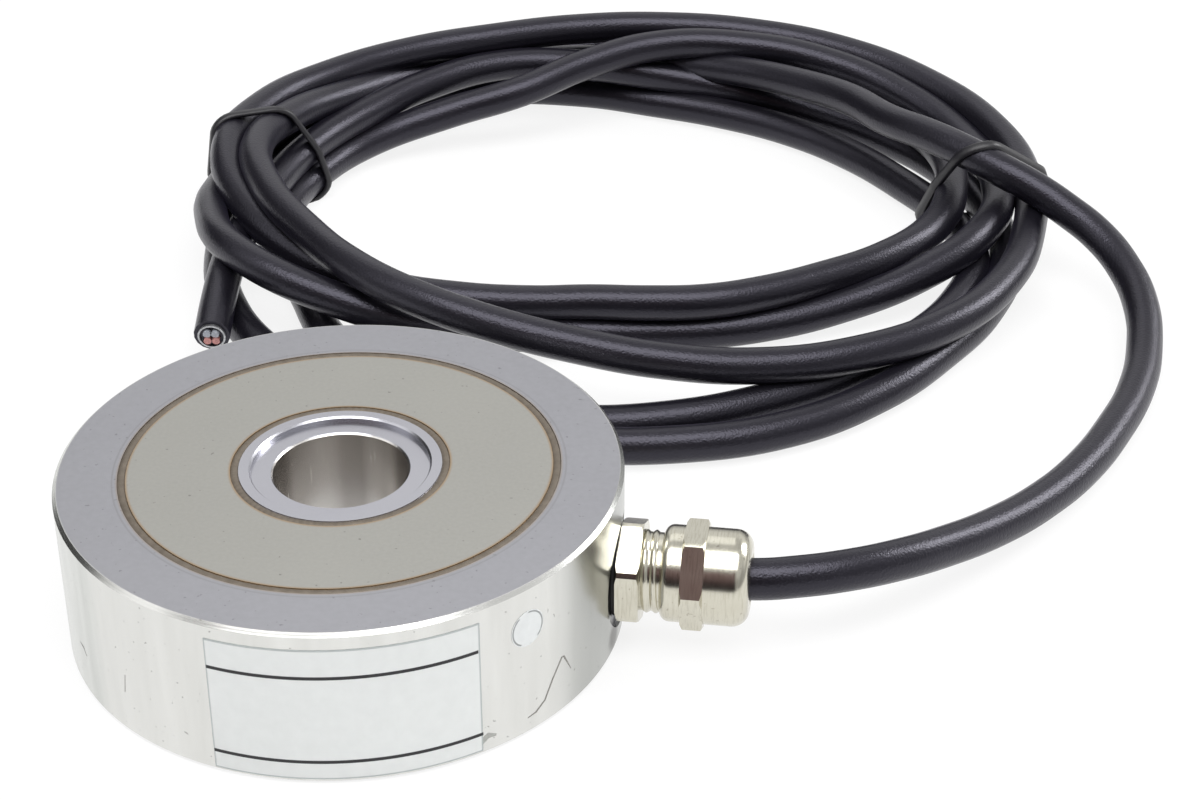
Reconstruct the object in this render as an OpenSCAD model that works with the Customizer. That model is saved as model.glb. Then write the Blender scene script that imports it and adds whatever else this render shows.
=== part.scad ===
// Ring-torsion load cell: a turned stainless ring with a thin-webbed torsion ring
// inside, two welded cover plates, ring-shaped strain gauges, a cable gland and a
// coiled signal cable. Millimetres, Z up, origin on the bore's axis at the base.

/* [Ring] */
// Outside diameter of the ring
ring_d = 92; // [88:1:96]
// Height of the ring
ring_h = 28; // [28:0.5:32]
// Chamfer round the two outer edges
edge_chamfer = 0.6; // [0.3:0.1:1]
// Diameter of the through bore
bore_d = 22; // [18:0.5:24]
// Diameter of the load seat's counterbore
seat_d = 29; // [27:0.5:30]
// Depth of the load seat's counterbore
seat_depth = 1; // [0.8:0.1:2.5]
// How far the hub and the lower cover stand clear of the base
base_recess = 1; // [0.5:0.1:1.5]
// Thickness of the two cover plates
cover_t = 1; // [0.6:0.1:1.4]
// Inner edge diameter of the cover plates
cover_id = 34.2; // [33:0.2:36]
// Outer edge diameter of the cover plates
cover_od = 70.2; // [68:0.2:72]

/* [Spring element] */
// Inside diameter of the torsion ring
torsion_id = 44; // [43:0.2:46]
// Outside diameter of the torsion ring
torsion_od = 60.4; // [58:0.2:61]
// Height of the torsion ring
torsion_h = 12; // [10:0.5:13]
// Thickness of the two webs that carry the torsion ring
web_t = 2.6; // [1.8:0.1:3.2]
// Fillet at the roots of the webs
web_fillet = 1.2; // [0.6:0.1:1.5]

/* [Gland] */
// Height of the gland's axis above the base
gland_z = 11.8; // [11.4:0.1:14]
// Width across the flats of the gland body's hexagon
body_af = 16; // [15:0.1:17]
// Width across the flats of the dome nut's hexagon
nut_af = 16.1; // [15:0.1:17]
// Diameter of the dome nut
nut_d = 15.9; // [15:0.1:17]
// Length of the dome nut
nut_len = 14.5; // [13:0.1:15]
// Angle at which the body's hexagon came to rest
body_turn = 2; // [-30:1:30]
// Angle at which the nut's hexagon came to rest
nut_turn = 24; // [-30:1:30]
// Number of fingers in the clamping insert
fingers = 8; // [6:1:10]

/* [Cable] */
// Diameter of the cable's jacket
cable_d = 7; // [6.6:0.1:7]
// Height of the coiled turns
coil_h = 21; // [18:0.5:24]

/* [Hidden] */
$fn = 96;
eps = 0.01;
ring_r = ring_d / 2;
bore_r = bore_d / 2;
seat_r = seat_d / 2;
cover_ri = cover_id / 2;
cover_ro = cover_od / 2;
// The covers lie on ledges of this width
ledge = 1.5;
hub_r = cover_ri + ledge;
wall_r = cover_ro - ledge;
// Weld grooves: width and depth, half in the body and half in the cover
groove_w = 1.3;
groove_t = 0.2;
// The recess under the hub ends this far outside the lower cover
recess_r = cover_ro + 1.4;
torsion_ri = torsion_id / 2;
torsion_ro = torsion_od / 2;
mid_z = (ring_h + base_recess) / 2;
torsion_z0 = mid_z - torsion_h / 2;
torsion_z1 = mid_z + torsion_h / 2;
// Holes in the outer web that the upper gauges' leads go down through
lead_angles = [35, 125, 215, 305];
lead_hole_r = 1;
lead_hole_at = (torsion_ro + wall_r) / 2;
// Gland: stations along X
seat_x = ring_r - 1;
gasket_t = 0.8;
gasket_r = 7.7;
hex_x = seat_x + gasket_t;
hex_t = 3.8;
neck_x = hex_x + hex_t;
nut_x = neck_x + 3.1;
nut_end = nut_x + nut_len;
spigot_len = 6.2;
spigot_r = 5.95;
thread_r = 6;
thread_depth = 8.5;
spot_r = 9.6;
neck_r = 6.45;
neck_end = nut_x + 3.5;
socket_x = hex_x + 3.4;
socket_r = 5.4;
cable_r = cable_d / 2;
passage_r = 3.9;
mouth_r = 3.8;
// The bore that the cores go through into the lower chamber
wire_hole_r = 2.2;
wire_hole_z = gland_z - 3;
// Strain gauges: carrier and foil thickness, foil line width and pitch
carrier_t = 0.1;
foil_t = 0.06;
foil_w = 0.35;
foil_pitch = 0.75;
foil_loops = 4;
gauge_w = 3.3;
gauge_inner_r = torsion_ri + 0.4;
gauge_outer_r = torsion_ro - 0.4 - gauge_w;
// Circuit board on the lower cover
board_t = 1.2;
board_ri = 19.4;
board_ro = 32.8;
board_z = base_recess + cover_t;
board_top = board_z + board_t;
pin_r = 0.5;
pin_h = 1.2;
pin_x = 26.6;
pin_ys = [-4.5, -1.5, 1.5, 4.5];
lead_r = 0.2;
core_r = 0.5;
// Where the jacket ends inside the gland
jacket_x = 41;
// The nut's cone and the fingers' taper share this line: radius and place at both ends
cone = [[6.3, neck_end + 1.3], [4.95, nut_end - 3.2]];
// Coil of cable: outline of the turns and of the space inside them
coil_at = [28, 131];
coil_a = 90;
coil_b = 85;
coil_hole_at = [25, 142];
coil_hole_a = 65;
coil_hole_b = 50;
coil_sides = 48;
coil_join_x = coil_at[0] + coil_a * cos(180 / coil_sides);
// Ties round the coil: inner faces in X, the place along Y at the base and how far each leans
tie_t = 1.2;
tie_w = 2.4;
tie_right_x = [91.5, 114.8];
tie_right_y = 153;
tie_right_lean = 20;
tie_left_x = [-59.5, -39.5];
tie_left_y = 145.5;
tie_left_lean = 0;
// Route of the cable from inside the gland to the coil
lead_route = [[jacket_x, 0, gland_z], [54, 0, gland_z], [67.5, 0, gland_z], [75, 1.2, 11.5],
    [82.7, 5.2, 10.5], [90.6, 11.8, 8.6], [98.7, 20, 6.4], [107.5, 29.8, 4.5], [115.7, 40.5, 3.7],
    [123, 53, 3.6], [129, 67, 3.6], [133, 82, 3.6], [135, 96.5, 4.5], [134.4, 110.5, 6.8],
    [131.2, 121.5, 9.3], [126, 129, 12], [120, 134, 14.5], [coil_join_x, 134.8, 15.5]];
// Route of the cable's cut end out of the coil
tail_route = [[-47, 110, 10], [-46.7, 101, 10.3], [-45.8, 92.3, 10.2], [-44.7, 83, 9.2],
    [-43.2, 72.1, 7.5]];
cable_sides = 10;
tail_end = len(tail_route) - 1;

// Smooth curve through route points: point at parameter t between points i and i + 1
function route_at(p, i, t) =
    let (n = len(p) - 1,
        a = p[max(i - 1, 0)],
        b = p[i],
        c = p[min(i + 1, n)],
        d = p[min(i + 2, n)])
    0.5 * (2 * b + (c - a) * t + (2 * a - 5 * b + 4 * c - d) * t * t
        + (3 * b - a - 3 * c + d) * t * t * t);
function smooth(p, cuts) =
    concat([for (i = [0 : len(p) - 2], k = [0 : cuts - 1]) route_at(p, i, k / cuts)],
        [p[len(p) - 1]]);
function unit(v) = v / norm(v);
cut_heading = unit(tail_route[tail_end] - tail_route[tail_end - 1]);
function heading(q, i) = unit(q[min(i + 1, len(q) - 1)] - q[max(i - 1, 0)]);
function side_of(h) = unit(cross(h, [0, 0, 1]));
function ring_pts(q, i, r, n, first, last) =
    let (h = i == 0 ? first : i == len(q) - 1 ? last : heading(q, i),
        s = side_of(h),
        u = cross(s, h))
    [for (k = [0 : n - 1]) q[i] + r * (cos(360 * k / n) * s + sin(360 * k / n) * u)];

// Round cable or wire swept along a route, with flat ends square to first and last
module swept(route, r, n, cuts, first, last) {
    q = smooth(route, cuts);
    m = len(q);
    pts = [for (i = [0 : m - 1]) each ring_pts(q, i, r, n, first, last)];
    walls = [for (i = [0 : m - 2], k = [0 : n - 1])
        [i * n + k, i * n + (k + 1) % n, (i + 1) * n + (k + 1) % n, (i + 1) * n + k]];
    start = [for (k = [0 : n - 1]) n - 1 - k];
    end = [for (k = [0 : n - 1]) (m - 1) * n + k];
    polyhedron(pts, concat(walls, [start, end]), convexity = 8);
}

// Place along the gland where the cone's line has the radius r
function cone_x(r) = cone[0][1] + (cone[1][1] - cone[0][1]) * (cone[0][0] - r) / (cone[0][0] - cone[1][0]);

// Rectangle in the radius and height plane
module band(r0, r1, z0, z1) {
    translate([r0, z0]) square([r1 - r0, z1 - z0]);
}

// Fillet of an inside corner at (r, z) that opens towards (sr, sz)
module fillet(r, z, sr, sz) {
    translate([r, z]) scale([sr, sz]) difference() {
        translate([-eps, -eps]) square(web_fillet + eps);
        translate([web_fillet, web_fillet]) circle(web_fillet, $fn = 32);
    }
}

// Triangle that cuts an outside corner at (r, z) by c each way
module corner_cut(r, z, sr, sz, c) {
    polygon([[r, z], [r - sr * c, z], [r, z - sz * c]]);
}

module at_gland() {
    translate([0, 0, gland_z]) rotate([0, 90, 0]) children();
}

// Hexagonal prism along the gland's axis, its corners turned down to d
module hex_belt(af, d, x0, t, turn, bevel) {
    translate([0, 0, x0]) intersection() {
        rotate([0, 0, turn]) cylinder(h = t, d = af / cos(30), $fn = 6);
        rotate_extrude() polygon([[0, 0], [d / 2 - bevel, 0], [d / 2, bevel * 0.6],
            [d / 2, t - bevel * 0.6], [d / 2 - bevel, t], [0, t]]);
    }
}

// Section of the turned body: outer ring, webs, torsion ring and hub
module body_section() {
    difference() {
        union() {
            band(wall_r, ring_r, 0, ring_h);
            band(bore_r, hub_r, base_recess, ring_h);
            band(torsion_ri, torsion_ro, torsion_z0, torsion_z1);
            band(hub_r - eps, torsion_ri + eps, mid_z - web_t / 2, mid_z + web_t / 2);
            band(torsion_ro - eps, wall_r + eps, mid_z - web_t / 2, mid_z + web_t / 2);
            for (s = [-1, 1]) {
                z = mid_z + s * web_t / 2;
                fillet(hub_r, z, 1, s);
                fillet(torsion_ri, z, -1, s);
                fillet(torsion_ro, z, 1, s);
                fillet(wall_r, z, -1, s);
            }
        }
        // Ledges for the covers and the weld grooves beside them
        band(cover_ri, cover_ro, ring_h - cover_t, ring_h + 1);
        band(cover_ri, cover_ro, base_recess - 1, base_recess + cover_t);
        for (z = [ring_h - groove_t, base_recess - 1]) {
            band(cover_ri - groove_w / 2, cover_ri + eps, z, z + 1 + groove_t);
            band(cover_ro - eps, cover_ro + groove_w / 2, z, z + 1 + groove_t);
        }
        // Recess under the hub, then the load seat
        band(0, recess_r, -1, base_recess);
        band(0, seat_r, ring_h - seat_depth, ring_h + 1);
        corner_cut(ring_r, ring_h, 1, 1, edge_chamfer);
        corner_cut(ring_r, 0, 1, -1, edge_chamfer);
        corner_cut(seat_r, ring_h, -1, 1, 0.3);
        corner_cut(bore_r, ring_h - seat_depth, -1, 1, 0.3);
        corner_cut(bore_r, base_recess, -1, -1, 0.5);
    }
}

module sensor_body() {
    color([0.78, 0.78, 0.79]) difference() {
        rotate_extrude(convexity = 8) body_section();
        // Spot face, threaded hole and the cores' way into the lower chamber
        at_gland() {
            translate([0, 0, seat_x]) cylinder(h = 6, r = spot_r);
            translate([0, 0, seat_x - thread_depth]) cylinder(h = 10, r = thread_r);
        }
        translate([wall_r - 1, 0, wire_hole_z]) rotate([0, 90, 0]) cylinder(h = 5, r = wire_hole_r);
        for (a = lead_angles)
            rotate([0, 0, a]) translate([lead_hole_at, 0, mid_z - 3]) cylinder(h = 6, r = lead_hole_r);
    }
}

// Flat ring-shaped cover, stepped at both edges where the weld runs
module cover(z0, groove_z) {
    rotate_extrude() difference() {
        band(cover_ri, cover_ro, z0, z0 + cover_t);
        band(cover_ri - 1, cover_ri + groove_w / 2, groove_z, groove_z + groove_t + eps);
        band(cover_ro - groove_w / 2, cover_ro + 1, groove_z, groove_z + groove_t + eps);
    }
}

module top_cover() {
    color([0.68, 0.67, 0.65]) cover(ring_h - cover_t, ring_h - groove_t);
}

module bottom_cover() {
    color([0.68, 0.67, 0.65]) cover(base_recess, base_recess - eps);
}

// Ring-shaped foil gauge on a face at z, its foil towards side s
module gauge(r0, z, s) {
    translate([0, 0, z]) mirror([0, 0, s < 0 ? 1 : 0]) {
        rotate_extrude() band(r0, r0 + gauge_w, 0, carrier_t);
        difference() {
            rotate_extrude() for (i = [0 : foil_loops - 1])
                band(r0 + 0.35 + i * foil_pitch, r0 + 0.35 + i * foil_pitch + foil_w,
                    carrier_t - eps, carrier_t + foil_t);
            for (a = lead_angles)
                rotate([0, 0, a]) translate([r0 - 1, -0.2, carrier_t]) cube([gauge_w + 2, 0.4, 1]);
        }
        // Solder tabs on both sides of each break in the foil
        for (a = lead_angles, t = [-1, 1])
            rotate([0, 0, a]) translate([r0 + 0.35, t * 0.8 - 0.6, carrier_t - eps])
                cube([(foil_loops - 1) * foil_pitch + foil_w, 1.2, foil_t + eps]);
    }
}

module gauge_top_inner() {
    color([0.85, 0.6, 0.35]) gauge(gauge_inner_r, torsion_z1, 1);
}

module gauge_top_outer() {
    color([0.85, 0.6, 0.35]) gauge(gauge_outer_r, torsion_z1, 1);
}

module gauge_bottom_inner() {
    color([0.85, 0.6, 0.35]) gauge(gauge_inner_r, torsion_z0, -1);
}

module gauge_bottom_outer() {
    color([0.85, 0.6, 0.35]) gauge(gauge_outer_r, torsion_z0, -1);
}

module circuit_board() {
    color([0.1, 0.4, 0.22]) difference() {
        rotate_extrude() band(board_ri, board_ro, board_z, board_top);
        for (a = [90, 180, 270])
            rotate([0, 0, a]) translate([board_ri + 1.6, 0, board_z - 1]) cylinder(h = 4, r = 0.8, $fn = 24);
    }
}

// Where each lead wire of a gauge lies beside its lead angle
lead_offsets = [-0.45, 0.45];

module terminal_pins() {
    color([0.8, 0.75, 0.5]) for (y = pin_ys) translate([pin_x, y, board_top]) {
        cylinder(h = pin_h, r = pin_r, $fn = 24);
        cylinder(h = 0.4, r1 = 1, r2 = pin_r, $fn = 24);
    }
}

// Small chip with end caps, lying along the board at radius r and angle a
module chip(r, a, size, cap) {
    rotate([0, 0, a]) translate([r, 0, board_top]) {
        translate([-size[0] / 2, -size[1] / 2, 0]) cube(size);
        for (t = [-1, 1])
            translate([-size[0] / 2 - 0.05, t * (size[1] / 2 - cap / 2) - cap / 2 - 0.05, 0])
                cube([size[0] + 0.1, cap + 0.1, size[2] + 0.05]);
    }
}

module trim_resistors() {
    color([0.15, 0.15, 0.17]) for (a = [62, 74, 286, 298]) chip(26, a, [1.6, 3.2, 0.6], 0.5);
}

module span_resistors() {
    color([0.55, 0.5, 0.42]) for (a = [160, 200]) chip(26, a, [4, 6, 0.7], 0.8);
}

// Enamelled wire from a top gauge's tab, over the edge and down to the board
module top_lead(a, offset, r_tab) {
    z = torsion_z1 + carrier_t + foil_t + lead_r;
    rotate([0, 0, a]) translate([0, offset, 0]) {
        translate([r_tab, 0, z]) rotate([0, 90, 0]) cylinder(h = lead_hole_at - r_tab, r = lead_r, $fn = 16);
        translate([lead_hole_at, 0, z]) sphere(lead_r, $fn = 16);
        translate([lead_hole_at, 0, board_top]) cylinder(h = z - board_top, r = lead_r, $fn = 16);
    }
}

module top_gauge_leads() {
    color([0.72, 0.35, 0.15]) for (a = lead_angles) {
        top_lead(a, lead_offsets[0], gauge_inner_r + gauge_w / 2);
        top_lead(a, lead_offsets[1], gauge_outer_r + gauge_w / 2);
    }
}

module bottom_gauge_leads() {
    z = torsion_z0 - carrier_t - foil_t;
    color([0.72, 0.35, 0.15]) for (a = lead_angles, r = [gauge_inner_r, gauge_outer_r])
        rotate([0, 0, a]) translate([r + gauge_w / 2, lead_offsets[1], board_top])
            cylinder(h = z - board_top, r = lead_r, $fn = 16);
}

// Core wire from the jacket's inner end, through the body, to its pin
// side and level place it in the bundle
module core_wire(side, level, pin_y) {
    y0 = 0.7 * side;
    route = [[jacket_x, y0, gland_z + 0.7 * level],
        [39.5, y0, gland_z - 0.4 + 0.7 * level],
        [38, y0, gland_z - 1.6 + 0.65 * level],
        [36.6, y0, gland_z - 2.7 + 0.6 * level],
        [34.5, y0, wire_hole_z + 0.6 * level],
        [32.8, y0, wire_hole_z - 0.8 + 0.6 * level],
        [31.6, y0 + (pin_y - y0) * 0.35, 6.6 + 0.3 * level],
        [30.2, y0 + (pin_y - y0) * 0.75, 5.3],
        [28.4, pin_y, board_top + pin_h + core_r],
        [pin_x - 0.4, pin_y, board_top + pin_h + core_r]];
    swept(route, core_r, 8, 2, [-1, 0, 0], [-1, 0, 0]);
}

module core_wire_red() {
    color([0.75, 0.12, 0.1]) core_wire(-1, -1, pin_ys[0]);
}

module core_wire_black() {
    color([0.1, 0.1, 0.1]) core_wire(-1, 1, pin_ys[1]);
}

module core_wire_green() {
    color([0.15, 0.5, 0.2]) core_wire(1, 1, pin_ys[2]);
}

module core_wire_white() {
    color([0.92, 0.92, 0.9]) core_wire(1, -1, pin_ys[3]);
}

module gland_gasket() {
    color([0.1, 0.1, 0.1]) at_gland() rotate_extrude() difference() {
        band(thread_r + 0.05, gasket_r, seat_x, hex_x);
        for (z = [seat_x, hex_x]) corner_cut(gasket_r, z, 1, z == seat_x ? -1 : 1, 0.25);
    }
}

// Entry body: threaded spigot, hexagon and the neck that the nut screws on
module gland_body() {
    color([0.76, 0.73, 0.66]) at_gland() difference() {
        union() {
            rotate_extrude() difference() {
                band(0, spigot_r, hex_x - gasket_t - spigot_len, hex_x + eps);
                corner_cut(spigot_r, hex_x - gasket_t - spigot_len, 1, -1, 0.6);
            }
            hex_belt(body_af, body_af / cos(30) - 0.5, hex_x, hex_t, body_turn, 0.5);
            rotate_extrude() difference() {
                band(0, neck_r, neck_x - eps, neck_end);
                corner_cut(neck_r, neck_end, 1, 1, 0.4);
            }
        }
        translate([0, 0, hex_x - gasket_t - spigot_len - 1]) cylinder(h = 30, r = passage_r);
        translate([0, 0, socket_x]) cylinder(h = 30, r = socket_r);
    }
}

// Rubber sleeve that grips the cable, with a flange on the floor of the socket
module rubber_seal() {
    color([0.13, 0.13, 0.14]) at_gland() rotate_extrude() difference() {
        union() {
            band(cable_r, socket_r - 0.1, socket_x, socket_x + 1.6);
            band(cable_r, 4.55, socket_x, nut_end - 4.4);
        }
        corner_cut(4.55, nut_end - 4.4, 1, 1, 0.4);
    }
}

// Clamping cage: a collar on the neck's rim and a crown of tapered fingers
module clamping_insert() {
    root = neck_end + 1;
    tip = cone[1][1];
    color([0.85, 0.85, 0.82]) at_gland() difference() {
        rotate_extrude() difference() {
            union() {
                band(4.65, socket_r - 0.05, socket_x + 1.6, neck_end + eps);
                band(4.65, 6.2, neck_end, root);
                polygon([[4.65, root - eps], [6.1, root - eps], [6.1, cone_x(6.1)],
                    [5.1, cone_x(5.1)], [4.65, tip]]);
            }
            corner_cut(6.2, neck_end, 1, -1, 0.2);
        }
        for (i = [0 : fingers - 1]) rotate([0, 0, 360 * (i + 0.5) / fingers])
            translate([4.2, -0.4, root + 0.6]) cube([3, 0.8, 10]);
    }
}

// Dome nut: round shoulders, a hexagon belt and a cone that closes the fingers
module dome_nut() {
    r = nut_d / 2;
    front = 2.8;
    rear = 1.6;
    belt_x = nut_x + 3.5;
    belt_t = 3.7;
    color([0.76, 0.73, 0.66]) at_gland() difference() {
        union() {
            rotate_extrude() {
                band(0, r, nut_x + rear, nut_end - front);
                band(0, r - rear, nut_x, nut_x + rear + eps);
                band(0, r - front, nut_end - front - eps, nut_end);
                intersection() {
                    translate([r - front, nut_end - front]) circle(front);
                    band(0, r, nut_end - front - 1, nut_end);
                }
                intersection() {
                    translate([r - rear, nut_x + rear]) circle(rear);
                    band(0, r, nut_x, nut_x + rear + 1);
                }
            }
            hex_belt(nut_af, nut_af / cos(30) - 0.4, belt_x, belt_t, nut_turn, 0.6);
        }
        rotate_extrude() {
            band(0, neck_r + 0.05, nut_x - 1, neck_end + 0.5);
            polygon([[0, neck_end + 0.4], [6.75, neck_end + 0.4], [6.75, cone[0][1]], cone[0],
                cone[1], [mouth_r, nut_end - 1.8], [mouth_r, nut_end - 0.5],
                [mouth_r + 0.5, nut_end], [mouth_r + 0.5, nut_end + 1], [0, nut_end + 1]]);
        }
    }
}

module cable_lead() {
    color([0.12, 0.12, 0.13]) swept(lead_route, cable_r, cable_sides, 1, [1, 0, 0], [-1, 0, 0]);
}

function oval(at, a, b) = [for (k = [0 : coil_sides - 1])
    let (t = 360 * (k + 0.5) / coil_sides) at + [a * cos(t), b * sin(t)]];

// Outer shape of the coiled turns, pressed in where the ties run and where the end comes out
module cable_coil() {
    color([0.14, 0.14, 0.15]) difference() {
        linear_extrude(coil_h) difference() {
            polygon(oval(coil_at, coil_a, coil_b));
            polygon(oval(coil_hole_at, coil_hole_a, coil_hole_b));
        }
        tie_right_band();
        tie_left_band();
        tail();
    }
}

module tail() {
    swept(tail_route, cable_r, cable_sides, 1, unit(tail_route[1] - tail_route[0]), cut_heading);
}

module cable_tail() {
    color([0.12, 0.12, 0.13]) tail();
}

// Turns children so that their Z axis leaves the cut end square
module at_cut() {
    h = cut_heading;
    translate(tail_route[tail_end]) rotate([0, acos(h[2]), atan2(h[1], h[0])]) children();
}

module cut_shield() {
    color([0.8, 0.8, 0.8]) at_cut() difference() {
        cylinder(h = 0.6, r = 2.7);
        translate([0, 0, -1]) cylinder(h = 3, r = 2.35);
    }
}

module cut_cores() {
    color([0.8, 0.45, 0.4]) at_cut() for (k = [0 : 3])
        rotate([0, 0, 45 + 90 * k]) translate([1.15, 0, 0]) cylinder(h = 0.9, r = 0.75, $fn = 32);
}

module round_rect(x0, x1, z0, z1, r) {
    translate([x0 + r, z0]) square([x1 - x0 - 2 * r, z1 - z0]);
    translate([x0, z0 + r]) square([x1 - x0, z1 - z0 - 2 * r]);
    for (x = [x0 + r, x1 - r], z = [z0 + r, z1 - r]) translate([x, z]) circle(r, $fn = 32);
}

// Flat tie round the bundle of turns, standing along X and leaning towards -Y
module tie(x, y, lean) {
    rise = tie_w / 2 * sin(lean);
    h = coil_h / cos(lean) + 0.2;
    translate([0, y, rise]) rotate([90 + lean, 0, 0]) translate([0, 0, -tie_w / 2]) linear_extrude(tie_w)
        difference() {
            round_rect(x[0] - tie_t, x[1] + tie_t, 0, h, 3.2);
            round_rect(x[0], x[1], tie_t, h - tie_t, 2);
        }
}

module tie_right_band() {
    tie(tie_right_x, tie_right_y, tie_right_lean);
}

module tie_left_band() {
    tie(tie_left_x, tie_left_y, tie_left_lean);
}

module tie_right() {
    color([0.08, 0.08, 0.08]) tie_right_band();
}

module tie_left() {
    color([0.08, 0.08, 0.08]) tie_left_band();
}

sensor_body();
top_cover();
bottom_cover();
gauge_top_inner();
gauge_top_outer();
gauge_bottom_inner();
gauge_bottom_outer();
circuit_board();
terminal_pins();
trim_resistors();
span_resistors();
top_gauge_leads();
bottom_gauge_leads();
core_wire_red();
core_wire_black();
core_wire_green();
core_wire_white();
gland_gasket();
gland_body();
clamping_insert();
rubber_seal();
dome_nut();
cable_lead();
cable_coil();
cable_tail();
cut_shield();
cut_cores();
tie_right();
tie_left();
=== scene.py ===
import math

import bpy
from mathutils import Matrix, Vector


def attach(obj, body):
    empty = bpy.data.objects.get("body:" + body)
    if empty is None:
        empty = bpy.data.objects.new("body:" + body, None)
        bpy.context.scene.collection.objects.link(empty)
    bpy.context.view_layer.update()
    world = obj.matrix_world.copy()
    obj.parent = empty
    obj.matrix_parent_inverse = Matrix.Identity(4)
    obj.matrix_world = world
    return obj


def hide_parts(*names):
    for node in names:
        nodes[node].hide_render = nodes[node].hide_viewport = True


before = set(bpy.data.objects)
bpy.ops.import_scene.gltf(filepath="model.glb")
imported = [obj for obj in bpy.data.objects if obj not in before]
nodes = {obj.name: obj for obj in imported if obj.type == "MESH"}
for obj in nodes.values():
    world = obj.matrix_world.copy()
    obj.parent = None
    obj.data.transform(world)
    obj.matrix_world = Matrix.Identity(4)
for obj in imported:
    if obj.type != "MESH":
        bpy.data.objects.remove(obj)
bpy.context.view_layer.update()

# Sizes are in millimetres, as in the part's source, and MM turns them to Blender's metres.
MM = 0.001
RING_R = 46.0
RING_H = 28.0
CABLE_R = 3.5
GLAND_Z = 11.8
# The two welds on each face, and how far inside the face their grooves end
WELDS = {"outer": 35.1, "inner": 17.1}
TOP_GROOVE = 0.2
BOTTOM_GROOVE = 1.2
# Middle of the round sticker: degrees round the ring, and height
STICKER_AT = (-39.6, 20.3)
STICKER_R = 3.2


# Camera: the photograph's own viewing angle, fitted to the ring's circles
CAMERA_AT = (88.65, -328.89, 246.89)
CAMERA_TURN = 8
CAMERA_DOWN = 31.457
CAMERA_ROLL = -0.066
CAMERA_LENS = 74.64


def make_camera():
    data = bpy.data.cameras.new("photo_camera")
    data.lens = CAMERA_LENS
    data.sensor_width = 36
    camera = bpy.data.objects.new("photo_camera", data)
    turn = Matrix.Rotation(math.radians(CAMERA_TURN), 4, "Z")
    tilt = Matrix.Rotation(math.radians(90 - CAMERA_DOWN), 4, "X")
    roll = Matrix.Rotation(math.radians(CAMERA_ROLL), 4, "Z")
    camera.matrix_world = Matrix.Translation(Vector(CAMERA_AT) * MM) @ turn @ tilt @ roll
    bpy.context.scene.collection.objects.link(camera)
    bpy.context.scene.camera = camera


# Cable: the lead leaves the gland, lies on the floor and then climbs over the coil.
# It keeps within about 3 mm of the route in the part's source.
LEAD = [(41, 0, 11.8), (47.5, 0, 11.8), (54, 0, 11.8), (60.7, 0, 11.8), (67.5, 0, 11.8), (75, 1.7, 11.9),
        (82.5, 4.9, 11.6), (90.2, 10.5, 10.4), (98.2, 18.6, 8.4), (106.9, 28.9, 6.3), (115.2, 40.8, 4.7),
        (122.5, 53.8, 3.9), (128.3, 67.8, 3.6), (132.8, 82.2, 3.6), (135, 96.5, 4.5), (134.6, 110.6, 6.8),
        (131.3, 121.5, 9.3), (126.2, 129, 12), (120, 134, 14.5), (113.5, 137.8, 17), (106, 141.5, 19.2),
        (98.5, 146.8, 20.4), (91, 153.7, 20.3)]
# The cut end comes out from under the coil on the left.
TAIL = [(-47, 110, 10), (-46.7, 101, 10.3), (-45.8, 92.3, 10.2), (-44.7, 83, 9.2), (-43.2, 72.1, 7.5)]
COIL_AT = (28, 131)
STATION_STEP = 30
# Each turn's distance from the coil's middle and height, every 30 degrees from the right.
# The first turn starts at 30 degrees, where the lead comes in.
# The last one ends at 180, where the cut end goes out.
TURNS = [
    [(63, 19), (65, 15.5), (72.8, 11.2), (78.3, 10.6), (76.8, 14.4), (76.8, 19.3), (67, 18), (65.2, 18),
     (64, 14), (69.5, 10), (79.6, 10)],
    [(84.5, 10), (89, 12.5), (85.5, 16), (78, 18), (74.7, 18.6), (82, 17.7), (83.3, 18.1), (67.2, 11.7),
     (50.5, 10.5), (40.8, 10.2), (43.5, 10.2), (50.3, 10)],
    [(65.3, 10.3), (75.6, 9.9), (81, 5.5), (84.3, 10), (84.6, 7.5), (87, 7.4), (84.5, 10.4), (80.9, 15.6),
     (57.3, 7.4), (42, 4), (43.8, 3.7), (54.3, 5)],
    [(75.5, 10.3), (83.2, 9.9), (78.4, 15.7), (68, 17.5), (58, 12.3), (69.8, 5.2), (72, 3.8), (68, 3.7),
     (74.5, 3.6), (75, 3.6), (72, 3.6), (72, 3.6)],
    [(73.8, 3.6), (66.2, 3.6), (64.5, 3.6), (67.2, 3.6), (78.8, 3.6), (81, 3.6), (82, 3.6), (83.4, 3.6),
     (83, 3.6), (82, 3.6), (82.3, 3.6), (79, 3.6)],
    [(80.7, 3.6), (78, 3.7), (74.2, 4.4), (68, 10), (70.2, 13.8), (72, 11), (74.5, 9.6)],
]


def between(points, i, t):
    """Point on the smooth curve through points, a share t of the way from number i to the next."""
    last = len(points) - 1
    a, b, c, d = (Vector(points[min(max(i + k, 0), last)]) for k in (-1, 0, 1, 2))
    bend = (2 * a - 5 * b + 4 * c - d) * t ** 2 + (3 * b - a - 3 * c + d) * t ** 3
    return 0.5 * (2 * b + (c - a) * t + bend)


def on_coil(station, radius, height):
    """A place on the coil by its station, which counts in steps of 30 degrees from the first turn's start."""
    angle = math.radians(STATION_STEP * (1 + station))
    return (COIL_AT[0] + radius * math.cos(angle), COIL_AT[1] + radius * math.sin(angle), height)


def coil_points(steps):
    """The coil's turns, with this many points from one station to the next."""
    stations = [station for turn in TURNS for station in turn]
    last = len(stations) - 1
    points = []
    for i in range(last):
        for k in range(steps):
            radius, height = between(stations, i, k / steps)
            points.append(on_coil(i + k / steps, radius, height))
    points.append(on_coil(last, *stations[last]))
    return points


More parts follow.
